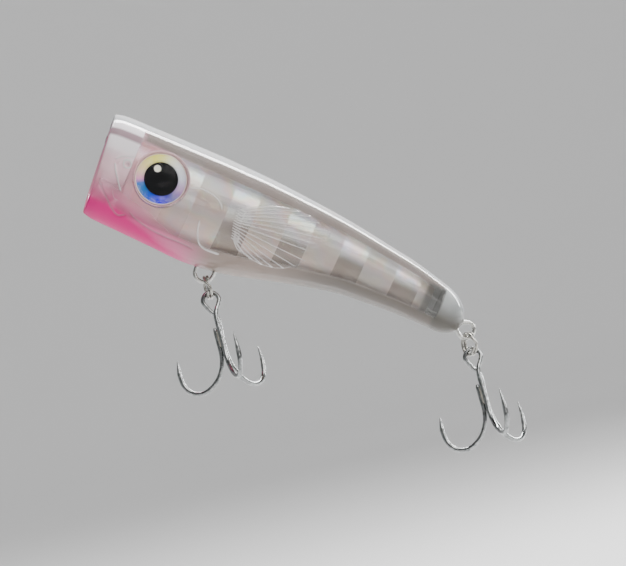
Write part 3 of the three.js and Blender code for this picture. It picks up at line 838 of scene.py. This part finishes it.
def skin_points(side, x, angle):
    """The outer skin and the eye's socket: (points, relief, distance off the eye's axis)."""
    smooth_skin = on_body(x, angle, LIP_ROUND * np.exp(-x / 0.10), side)
    normal = outward_normals(smooth_skin, x)
    facing = smooth((np.abs(normal[..., 1]) - 0.12) / 0.3)
    relief = side_relief(smooth_skin[..., 0], smooth_skin[..., 2]) * facing
    depth, from_eye = off_eye_axis(smooth_skin, side)
    front = depth > 0
    relief *= np.where(front, smooth((from_eye - RELIEF_OFF_EYE) / 0.9), 1.0)
    rim = np.where(front, EYE_RIM_HEIGHT * ridge(from_eye - EYE_RIM_RADIUS, 0.22), 0.0)
    points = smooth_skin + normal * (relief + rim)[..., None]
    sink = np.where(front, smooth((EYE_SOCKET + 0.12 - from_eye) / 0.28), 0.0)
    points -= eye_axis(side) * ((depth - EYE_FLOOR) * sink)[..., None]
    points[..., 1] += side * SEAM
    # the edges roll in at the seam
    points -= normal * (SEAM_ROUND * np.exp((np.abs(angle) - math.pi / 2) / 0.012))[..., None]
    return points, relief, np.where(front, from_eye, NO_EYE)


def cup_points(side, turns):
    """The cup in the raked face, from its deepest point out to its edge."""
    reach = math.asin(CUP_MOUTH / CUP_RADIUS) * np.linspace(0.0, 1.0, 36)[:, None] ** 0.9
    r = CUP_RADIUS * np.sin(reach)
    forward = CUP_RADIUS * np.cos(reach) + CUP_DEPTH - CUP_RADIUS
    up = r * np.sin(turns)
    c, s = math.cos(math.atan(FACE_RAKE)), math.sin(math.atan(FACE_RAKE))
    return np.stack([forward * c - up * s, side * r * np.cos(turns), forward * s + up * c], -1)


def lip_points(inner, outer):
    """The rounded lip between the cup's edge and the skin's first row."""
    t = np.linspace(0, 1, 9)[1:-1, None, None]
    rows = inner * (1 - t) + outer * t
    rows[..., 0] -= 0.12 * np.sin(math.pi * t[..., 0]) ** 0.5
    return rows


def shell_half(side, name):
    """One half of the skin with its lip and cup, as one sheet from the cup's floor to the tail."""
    turns = np.linspace(-math.pi / 2, math.pi / 2, 233)
    skin, relief, from_eye = skin_points(side, *np.meshgrid(skin_rows(), turns, indexing="ij"))
    cup = cup_points(side, turns)
    face = np.concatenate([cup, lip_points(cup[-1], skin[0])])
    face[..., 1] += side * SEAM
    rows = np.concatenate([face, skin])
    obj = body_mesh(name, rows, grid_faces(*rows.shape[:2], flip=side < 0), MATS["shell"])
    plain = np.zeros(face.shape[:2])
    mark(obj, "crest", np.concatenate([plain, relief]))
    mark(obj, "turn", np.broadcast_to(np.degrees(turns), rows.shape[:2]))
    mark(obj, "cup", np.repeat(np.arange(len(rows)) < len(cup) - 1, len(turns)))
    mark(obj, "from_eye", np.concatenate([plain + NO_EYE, from_eye]))
    return obj


def bulkhead(side, name):
    """The inner wall behind the cup, seen through the skin."""
    turns = np.linspace(-math.pi / 2, math.pi / 2, 97)
    radius = CUP_RADIUS + WALL
    rows = []
    for reach in np.linspace(0.0, 1.02, 40):
        y, z = side * radius * math.sin(reach) * np.cos(turns), radius * math.sin(reach) * np.sin(turns)
        x = np.full_like(turns, radius * math.cos(reach) + CUP_DEPTH - CUP_RADIUS)
        row = np.stack([x - FACE_RAKE * z, y, z], -1)
        limit = on_body(np.maximum(x, 0.4), turns, WALL * 0.6, side)
        over = np.hypot(y, z) > np.hypot(limit[:, 1], limit[:, 2])
        row[over] = limit[over]
        rows.append(row)
    rows = np.array(rows)
    return body_mesh(name, rows, grid_faces(*rows.shape[:2], flip=side > 0), MATS["bulkhead"])


FOIL_X = (9.0, 108.0)
FOIL_TURN = (math.radians(-60), math.radians(46))
FOIL_GAP = 0.34
FOIL_THICKNESS = 0.32
FOIL_HOLE = EYE_SOCKET + 0.2


def open_edges(faces):
    """The edges that only one face has."""
    edges = dict.fromkeys((int(f[i]), int(f[(i + 1) % 4])) for f in faces for i in range(4))
    return [(a, b) for a, b in edges if (b, a) not in edges]


def foil_piece(side, name):
    """The reflector: a thin sheet close inside the skin, with a hole for the eye's boss."""
    x, turn = np.meshgrid(np.linspace(*FOIL_X, 330), np.linspace(*FOIL_TURN, 120), indexing="ij")
    sheet = on_body(x, turn, WALL + FOIL_GAP, side)
    back = on_body(x, turn, WALL + FOIL_GAP + FOIL_THICKNESS, side)
    faces = grid_faces(*x.shape, flip=side < 0)
    off_axis = off_eye_axis(sheet, side)[1].ravel()
    front = faces[(off_axis[faces] > FOIL_HOLE).all(1)]
    rear = front[:, ::-1] + x.size
    rim = [(b, a, a + x.size, b + x.size) for a, b in open_edges(front)]
    all_faces = np.vstack([front, rear, np.array(rim)])
    points = np.concatenate([sheet.reshape(-1, 3), back.reshape(-1, 3)])
    used = np.unique(all_faces)
    lookup = np.full(len(points), -1)
    lookup[used] = np.arange(len(used))
    obj = body_mesh(name, points[used], lookup[all_faces], MATS["foil"])
    mark(obj, "turn", np.tile(np.degrees(turn).ravel(), 2)[used])
    return obj


# ---- Eyes ----
EYE_PLAY = 0.3
IRIS_BASE, IRIS_THICKNESS = 0.3, 0.4
DOME_BASE, DOME_EDGE, DOME_RISE = 1.0, 0.3, 1.9


def eye_mesh(name, profile, side, base, finish):
    """A turned shape on an eye's axis. place holds the print's own coordinates: u to the tail, v up."""
    turns = round_turns(96)
    r, h = (column[:, None] for column in np.array(profile).T)
    rings = np.stack([r * np.cos(turns), r * np.sin(turns), h + 0 * turns], -1)
    place, faces = closed_tube(rings, flip=side > 0)
    up = np.array([0.0, -side * math.sin(EYE_TILT), math.cos(EYE_TILT)])
    axes = np.array([(1.0, 0.0, 0.0), up, eye_axis(side)])
    points = EYE_MIDDLE + base * eye_axis(side) + place @ axes
    return make_mesh(name, to_world(points), faces, finish, place=place)


def eye_pieces(side, word):
    radius = EYE_SOCKET - EYE_PLAY
    disc = [(r, 0.0) for r in np.linspace(0.4, radius, 14)]
    disc += [(radius, 0.36)] + [(r, IRIS_THICKNESS) for r in np.linspace(radius - 0.05, 0.4, 26)]
    foil = eye_mesh(f"iris_{word}", disc, side, EYE_FLOOR + IRIS_BASE, MATS[f"eye_{word}"])
    arc = np.linspace(0, math.pi / 2, 22)
    dome = [(r, 0.0) for r in np.linspace(0.4, radius - 0.1, 6)] + [(radius, 0.12)]
    dome += [(radius * math.cos(t), DOME_EDGE + DOME_RISE * math.sin(t) ** 2) for t in arc[:-1]]
    clear = eye_mesh(f"eye_dome_{word}_resin", dome, side, EYE_FLOOR + DOME_BASE, MATS["dome"])
    return foil, clear


# ---- Wire, rings and hooks ----
def tube_piece(name, centres, radii, key, sides, first_normal=(0, 1, 0), world=to_world):
    points, faces = swept(centres, radii, sides, first_normal)
    return make_mesh(name, world(points), faces, MATS[key])


WIRE_R = 0.6
LOOP_R = 2.5
NOSE_LOOP = (NOSE[0], 0.0)
TAIL_LOOP = (122.2, -1.7)
BELLY_LOOP = (42.0, -17.4, 2.8)
HANGERS = {"belly": BELLY_LOOP, "tail": (*TAIL_LOOP, LOOP_R)}
NECK = 0.72


def loop_points(centre, radius, neck, turn):
    """Points round a loop, from one side of its neck to the other."""
    gap = math.radians(42)
    return [
        (centre[0] + radius * math.cos(neck + turn * a), centre[1] + radius * math.sin(neck + turn * a))
        for a in np.linspace(gap, 2 * math.pi - gap, 11)
    ]


def centripetal(points, count):
    """The curve three.js calls a centripetal CatmullRomCurve3, at even steps of its length."""
    p = np.asarray(points, float)
    fine = []
    for i in range(len(p) - 1):
        p1, p2 = p[i], p[i + 1]
        p0 = p[i - 1] if i > 0 else 2 * p1 - p2
        p3 = p[i + 2] if i + 2 < len(p) else 2 * p2 - p1
        d0, d1, d2 = (max(np.linalg.norm(b - a) ** 0.5, 1e-4) for a, b in ((p0, p1), (p1, p2), (p2, p3)))
        t1 = (p1 - p0) / d0 - (p2 - p0) / (d0 + d1) + (p2 - p1) / d1
        t2 = (p2 - p1) / d1 - (p3 - p1) / (d1 + d2) + (p3 - p2) / d2
        t1, t2 = t1 * d1, t2 * d1
        t = np.linspace(0, 1, 40, endpoint=i == len(p) - 2)[:, None]
        fine.append(
            p1 + t1 * t + (-3 * p1 + 3 * p2 - 2 * t1 - t2) * t**2 + (2 * p1 - 2 * p2 + t1 + t2) * t**3
        )
    return even_steps(np.vstack(fine), count)


def wire_path():
    bx, bz, br = BELLY_LOOP
    tx, tz = TAIL_LOOP
    nx = NOSE_LOOP[0]
    pts = [(17, -NECK), (10.5, -NECK), (nx + 3.1, -NECK)]
    pts += loop_points(NOSE_LOOP, LOOP_R, 0.0, -1)
    pts += [(nx + 3.1, NECK), (10.5, NECK), (17, NECK), (28, -0.4), (35, -5.5), (bx - br, -11.5)]
    pts += [(bx - br * math.cos(a), bz - br * math.sin(a)) for a in np.linspace(0, math.pi, 7)]
    pts += [(bx + br, -11.5), (48, -5.2), (57, -3.4), (75, -3), (98, tz - NECK), (111, tz - NECK)]
    pts += [(tx - 3.1, tz - NECK)]
    pts += loop_points(TAIL_LOOP, LOOP_R, math.pi, 1)
    pts += [(tx - 3.1, tz + NECK), (112, tz + NECK), (107.5, tz + NECK)]
    return centripetal([(x, 0.0, z) for x, z in pts], 700)


# Millimetres. A hook's depths are measured down from the bottom of its ring's centre line.
RING_WIRE = 0.425
RING_R = 3.35
RING_PITCH = 1.0
RING_ON_LOOP = 1.45
COIL_START = math.radians(212)
LEAN = math.radians(-15)
TURNS = {"belly": 0.0, "tail": math.radians(22)}
HOOK_WIRE = 0.66
SHANK_R = 0.86
EYE_ARCH = 1.85
EYE_HALF = 2.45
EYE_NECK = 3.9
SHANK_END = 13.0
POINT_SHARE = 0.12
TIP_R = 0.08
FORGED = 0.08
BARB_AT = 2.6
BARB_LENGTH = 1.9
BRAZE_TOP = 10.2
BRAZE_LENGTH = 5.6
FRONT, REAR, BRAZED = (math.radians(a) for a in (-79, 41, 161))
# how far out and how deep each hook runs, from the end of its shank to its tip
BEND = [
    (0.95, 18.5), (2.3, 22.4), (4.8, 25.6), (8.4, 27.5),
    (11.9, 27.0), (14.3, 24.4), (15.1, 20.6), (14.8, 15.6),
]


def pivot(name):
    """The lowest point of a loop's wire once the body is tilted, in world millimetres."""
    x, z, radius = HANGERS[name]
    return to_world((x, 0, z)) / MM + np.array([0, 0, -radius])


def placer(name, lift, turn=0.0):
    """Turns tackle millimetres into world metres: the group leans, and lift is along its own Z."""
    matrix = (
        Matrix.Translation(Vector(pivot(name)))
        @ Matrix.Rotation(LEAN, 4, "X")
        @ Matrix.Translation((0, 0, lift))
        @ Matrix.Rotation(turn, 4, "Z")
    )
    m = np.array(matrix)

    def place(points):
        return (points @ m[:3, :3].T + m[:3, 3]) * MM

    return place


def split_ring(name):
    step, spare = math.radians(40), math.radians(12)
    total = 4 * math.pi - step - 2 * spare
    start = 2 * math.pi - step - spare
    turn = np.linspace(0, total, 300)
    crossed = smooth((turn - start) / step)
    angle = turn + COIL_START
    centres = np.stack([RING_PITCH * (crossed - 0.5), RING_R * np.cos(angle), RING_R * np.sin(angle)], -1)
    radii = np.full(len(turn), RING_WIRE)
    ends = np.minimum(turn, total - turn) * RING_R
    radii *= np.clip(0.55 + ends / 0.5, 0, 1)
    world = placer(name, RING_ON_LOOP - RING_R, TURNS[name])
    return tube_piece(f"{name}_ring_coil", centres, radii, "ring", 16, (1, 0, 0), world)


def hook_point(out, depth, azimuth):
    return np.array([out * math.cos(azimuth), out * math.sin(azimuth), -depth])


def hook_radius(distance):
    """Radius at each distance from the tip, as a share of the hook's length: a long ground point."""
    wire = HOOK_WIRE + FORGED * smooth((0.70 - distance) / 0.25)
    return TIP_R + (wire - TIP_R) * np.minimum(1, distance / POINT_SHARE) ** 0.8


def barb(azimuth):
    """A barb raised from the inner side of a point: a thin wedge that leans back down the hook."""
    tip, before = hook_point(*BEND[-1], azimuth), hook_point(*BEND[-2], azimuth)
    along = (tip - before) / np.linalg.norm(tip - before)
    into = -hook_point(1.0, 0.0, azimuth)
    side = np.cross(along, into)
    rings = []
    for t in np.linspace(0, 1, 9):
        centre = tip - along * (BARB_AT + BARB_LENGTH * t) + into * (0.20 + 0.62 * t**1.3)
        half, thick = side * 0.15 * (1 - 0.55 * t), into * (0.10 + 0.16 * (1 - t))
        rings.append([centre + half, centre + thick * 0.4, centre - half, centre - thick])
    return closed_tube(np.array(rings))


def joined(parts):
    points, faces, offset = [], [], 0
    for p, f in parts:
        points.append(p)
        faces += [tuple(int(i) + offset for i in q) for q in f]
        offset += len(p)
    return np.vstack(points), faces


def treble_mesh(name, piece, points, faces, key):
    """A piece of the named treble, hung from its ring."""
    place = placer(name, RING_ON_LOOP - 2 * RING_R)
    return make_mesh(f"{name}_{piece}", place(points), faces, MATS[key])


def double_hook(name):
    def eye_points(side, back):
        return [
            (side * 0.95, back * 0.6, -EYE_NECK),
            (side * 1.85, back * 0.3, -2.4),
            (side * EYE_HALF, back * 0.05, -0.7),
            (side * 1.65, 0, 1.0),
        ]

    def shank(azimuth):
        return [hook_point(SHANK_R, SHANK_END, azimuth), hook_point(SHANK_R, EYE_NECK + 2.4, azimuth)]

    def bend(azimuth):
        return [hook_point(o, d, azimuth) for o, d in BEND]

    pts = bend(FRONT)[::-1] + shank(FRONT) + eye_points(1, -1) + [(0, 0, EYE_ARCH)]
    pts += eye_points(-1, 1)[::-1] + shank(REAR)[::-1] + bend(REAR)
    path = centripetal(pts, 520)
    t = np.linspace(0, 1, len(path))
    radii = hook_radius(2 * np.minimum(t, 1 - t))
    parts = [swept(path, radii, 18), barb(FRONT), barb(REAR)]
    return treble_mesh(name, "double_hook_steel", *joined(parts), "hook")


def third_hook(name):
    lift = SHANK_R + 0.2
    route = [(lift, EYE_NECK + 5.6), (lift, SHANK_END), (lift + 0.1, BEND[0][1]), *BEND[1:]]
    path = centripetal([hook_point(o, d, BRAZED) for o, d in route], 300)
    t = np.linspace(0, 1, len(path))
    radii = hook_radius(1.15 * (1 - t))
    radii *= np.clip(0.72 + t / 0.02 * 0.28, 0, 1)
    parts = [swept(path, radii, 18), barb(BRAZED)]
    return treble_mesh(name, "third_hook_steel", *joined(parts), "hook")


def braze_bead(name):
    """The braze that fills the grooves between the three shanks."""
    turns = round_turns(30)
    away = [(turns - shank + math.pi) % (2 * math.pi) - math.pi for shank in (FRONT, REAR, BRAZED)]
    lobes = 0.30 * np.cos(1.5 * np.clip(away, -1, 1)).max(0)
    rings = []
    for t in np.linspace(0, 1, 40):
        swell = 0.72 + 0.10 * math.sin(math.pi * t)
        r = (swell + lobes) * min(1, 6 * t + 0.55, 6 * (1 - t) + 0.55)
        depth = np.full_like(turns, BRAZE_TOP + BRAZE_LENGTH * t)
        rings.append(np.stack([r * np.cos(turns), r * np.sin(turns), -depth], -1))
    return treble_mesh(name, "braze", *closed_tube(np.array(rings), flip=True), "braze")


# ---- Putting it together ----
for word, side in (("left", -1), ("right", 1)):
    skin = shell_half(side, f"skin_{word}")
    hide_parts(f"body_shell_{word}")
    inner = bulkhead(side, f"cup_wall_{word}")
    foil = foil_piece(side, f"reflector_{word}")
    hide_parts(f"foil_{word}")
    iris, dome = eye_pieces(side, word)
    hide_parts(f"eye_foil_{word}")
    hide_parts(f"eye_dome_{word}")
    for obj in (skin, inner, foil, iris, dome):
        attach(obj, "lure")

route = wire_path()
wire = tube_piece("line_wire", route, np.full(len(route), WIRE_R), "wire", 18)
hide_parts("through_wire")
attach(wire, "lure")

for name in HANGERS:
    ring = split_ring(name)
    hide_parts(f"{name}_split_ring")
    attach(ring, f"{name}_ring")
    double, third, bead = double_hook(name), third_hook(name), braze_bead(name)
    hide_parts(f"{name}_double_hook")
    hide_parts(f"{name}_third_hook")
    for obj in (double, third, bead):
        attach(obj, f"{name}_treble")

for node, key in (
    ("keel_weight", "lead"),
    ("tail_weight", "lead"),
    ("rattle_ball_left", "ball"),
    ("rattle_ball_right", "ball"),
):
    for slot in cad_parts[node].material_slots:
        slot.material = MATS[key]


# ---- Stage, camera and light ----
STAGE_X, STAGE_Z = 0.04, -0.175
STAGE_RADIUS, STAGE_CORNER, STAGE_HEIGHT = 3.2, 1.2, 4.0


def stage_material():
    m, n = material("stage_pale")
    coords = n.metres()
    far = n.make("ShaderNodeVectorMath", {0: coords}, operation="LENGTH")["Value"]
    floor = n.mix(n.noise(coords, 2.0, 2.0), (0.66, 0.66, 0.66), (0.70, 0.70, 0.70))
    colour = n.mix(n.ramp(far, 0.9, 2.4), floor, (0.84, 0.84, 0.84))
    n.out(n.principled(colour, 0.9))
    return m


def stage():
    """A pale floor that curves up into a round pale wall, out of every camera's way."""
    flat = STAGE_RADIUS - STAGE_CORNER
    profile = [(0.6, 0.0), (1.2, 0.0), (flat, 0.0)]
    profile += [
        (flat + STAGE_CORNER * math.sin(a), STAGE_CORNER * (1 - math.cos(a)))
        for a in np.linspace(0.1, math.pi / 2, 14)
    ]
    profile.append((STAGE_RADIUS, STAGE_HEIGHT))
    sides = 96
    turns = round_turns(sides)
    points = [
        (STAGE_X + r * math.cos(t), r * math.sin(t), STAGE_Z + h) for r, h in profile for t in turns
    ]
    points.append((STAGE_X, 0, STAGE_Z))
    faces = [tuple(f) for f in grid_faces(len(profile), sides, closed=True)]
    faces += [(len(points) - 1, (i + 1) % sides, i) for i in range(sides)]
    obj = make_mesh("stage_floor", points, faces, stage_material())


stage()

LENS = 200.0
SENSOR = 36.0
# across the picture, at the object
VIEW_WIDTH = 188.4 * MM
# the face's centre from the picture's middle, to the right and up
FACE_FROM_MIDDLE = (-64.4 * MM, 35.8 * MM)
AZIMUTH = math.radians(-6.5)
# the photograph shows the lure sloping less than it hangs, so the camera rolls by the difference
SLOPE_IN_PICTURE = math.radians(23.35)
ROLL = NOSE_UP - SLOPE_IN_PICTURE


def make_camera():
    data = bpy.data.cameras.new("camera")
    data.lens, data.sensor_width = LENS, SENSOR
    cam = link(bpy.data.objects.new("camera", data))
    back = Vector((math.sin(AZIMUTH), -math.cos(AZIMUTH), 0))
    right = Vector((math.cos(AZIMUTH), math.sin(AZIMUTH), 0))
    up = Vector((0, 0, 1))
    c, s = math.cos(ROLL), math.sin(ROLL)
    rolled_right, rolled_up = right * c - up * s, right * s + up * c
    distance = VIEW_WIDTH * LENS / SENSOR
    face = Vector(to_world(np.zeros(3)))
    across, above = FACE_FROM_MIDDLE
    location = face - rolled_right * across - rolled_up * above + back * distance
    basis = Matrix((rolled_right, rolled_up, back)).transposed()
    cam.matrix_world = Matrix.Translation(location) @ basis.to_4x4()
    bpy.context.scene.camera = cam


make_camera()


def area_light(name, location, target, size, power, colour=(1, 1, 1), along=(1, 0, 0)):
    """A soft box whose first side runs as near as it can along the given direction."""
    data = bpy.data.lights.new(name, "AREA")
    data.shape = "RECTANGLE"
    data.size, data.size_y = size
    data.energy = power
    data.color = colour
    obj = link(bpy.data.objects.new(name, data))
    back = (Vector(location) - Vector(target)).normalized()
    right = Vector(along)
    right = (right - back * right.dot(back)).normalized()
    basis = Matrix((right, back.cross(right), back)).transposed()
    obj.matrix_world = Matrix.Translation(location) @ basis.to_4x4()
    obj.visible_camera = False


MIDDLE = (0.043, 0.0, -0.035)
AXIS = (math.cos(NOSE_UP), 0.0, -math.sin(NOSE_UP))


def from_body(along, side, above):
    """A world place given in the body's own directions, from its middle, in metres."""
    c, s = math.cos(NOSE_UP), math.sin(NOSE_UP)
    return (MIDDLE[0] + along * c + above * s, MIDDLE[1] + side, MIDDLE[2] - along * s + above * c)


area_light("shoulder_strip", from_body(0.0, 0.29, 0.57), MIDDLE, (1.5, 0.11), 23.0, along=AXIS)
area_light("key", from_body(-0.1, -0.62, 0.80), MIDDLE, (1.1, 0.6), 9.2, (1.0, 0.985, 0.965), along=AXIS)
area_light("low_fill", (0.45, -1.25, 0.03), MIDDLE, (0.7, 0.2), 1.2, (1.0, 0.97, 0.95))
area_light("rim", (0.25, 0.95, 0.55), MIDDLE, (0.9, 0.4), 2.6)
area_light("wall_wash", (0.0, 0.9, 1.3), (0.3, 3.2, 0.2), (2.4, 0.8), 22.0)

world = bpy.data.worlds.new("studio")
world.use_nodes = True
bpy.context.scene.world = world
sky = world.node_tree.nodes["Background"]
sky.inputs["Color"].default_value = (0.95, 0.97, 1.0, 1)
sky.inputs["Strength"].default_value = 0.14

bpy.context.view_layer.update()
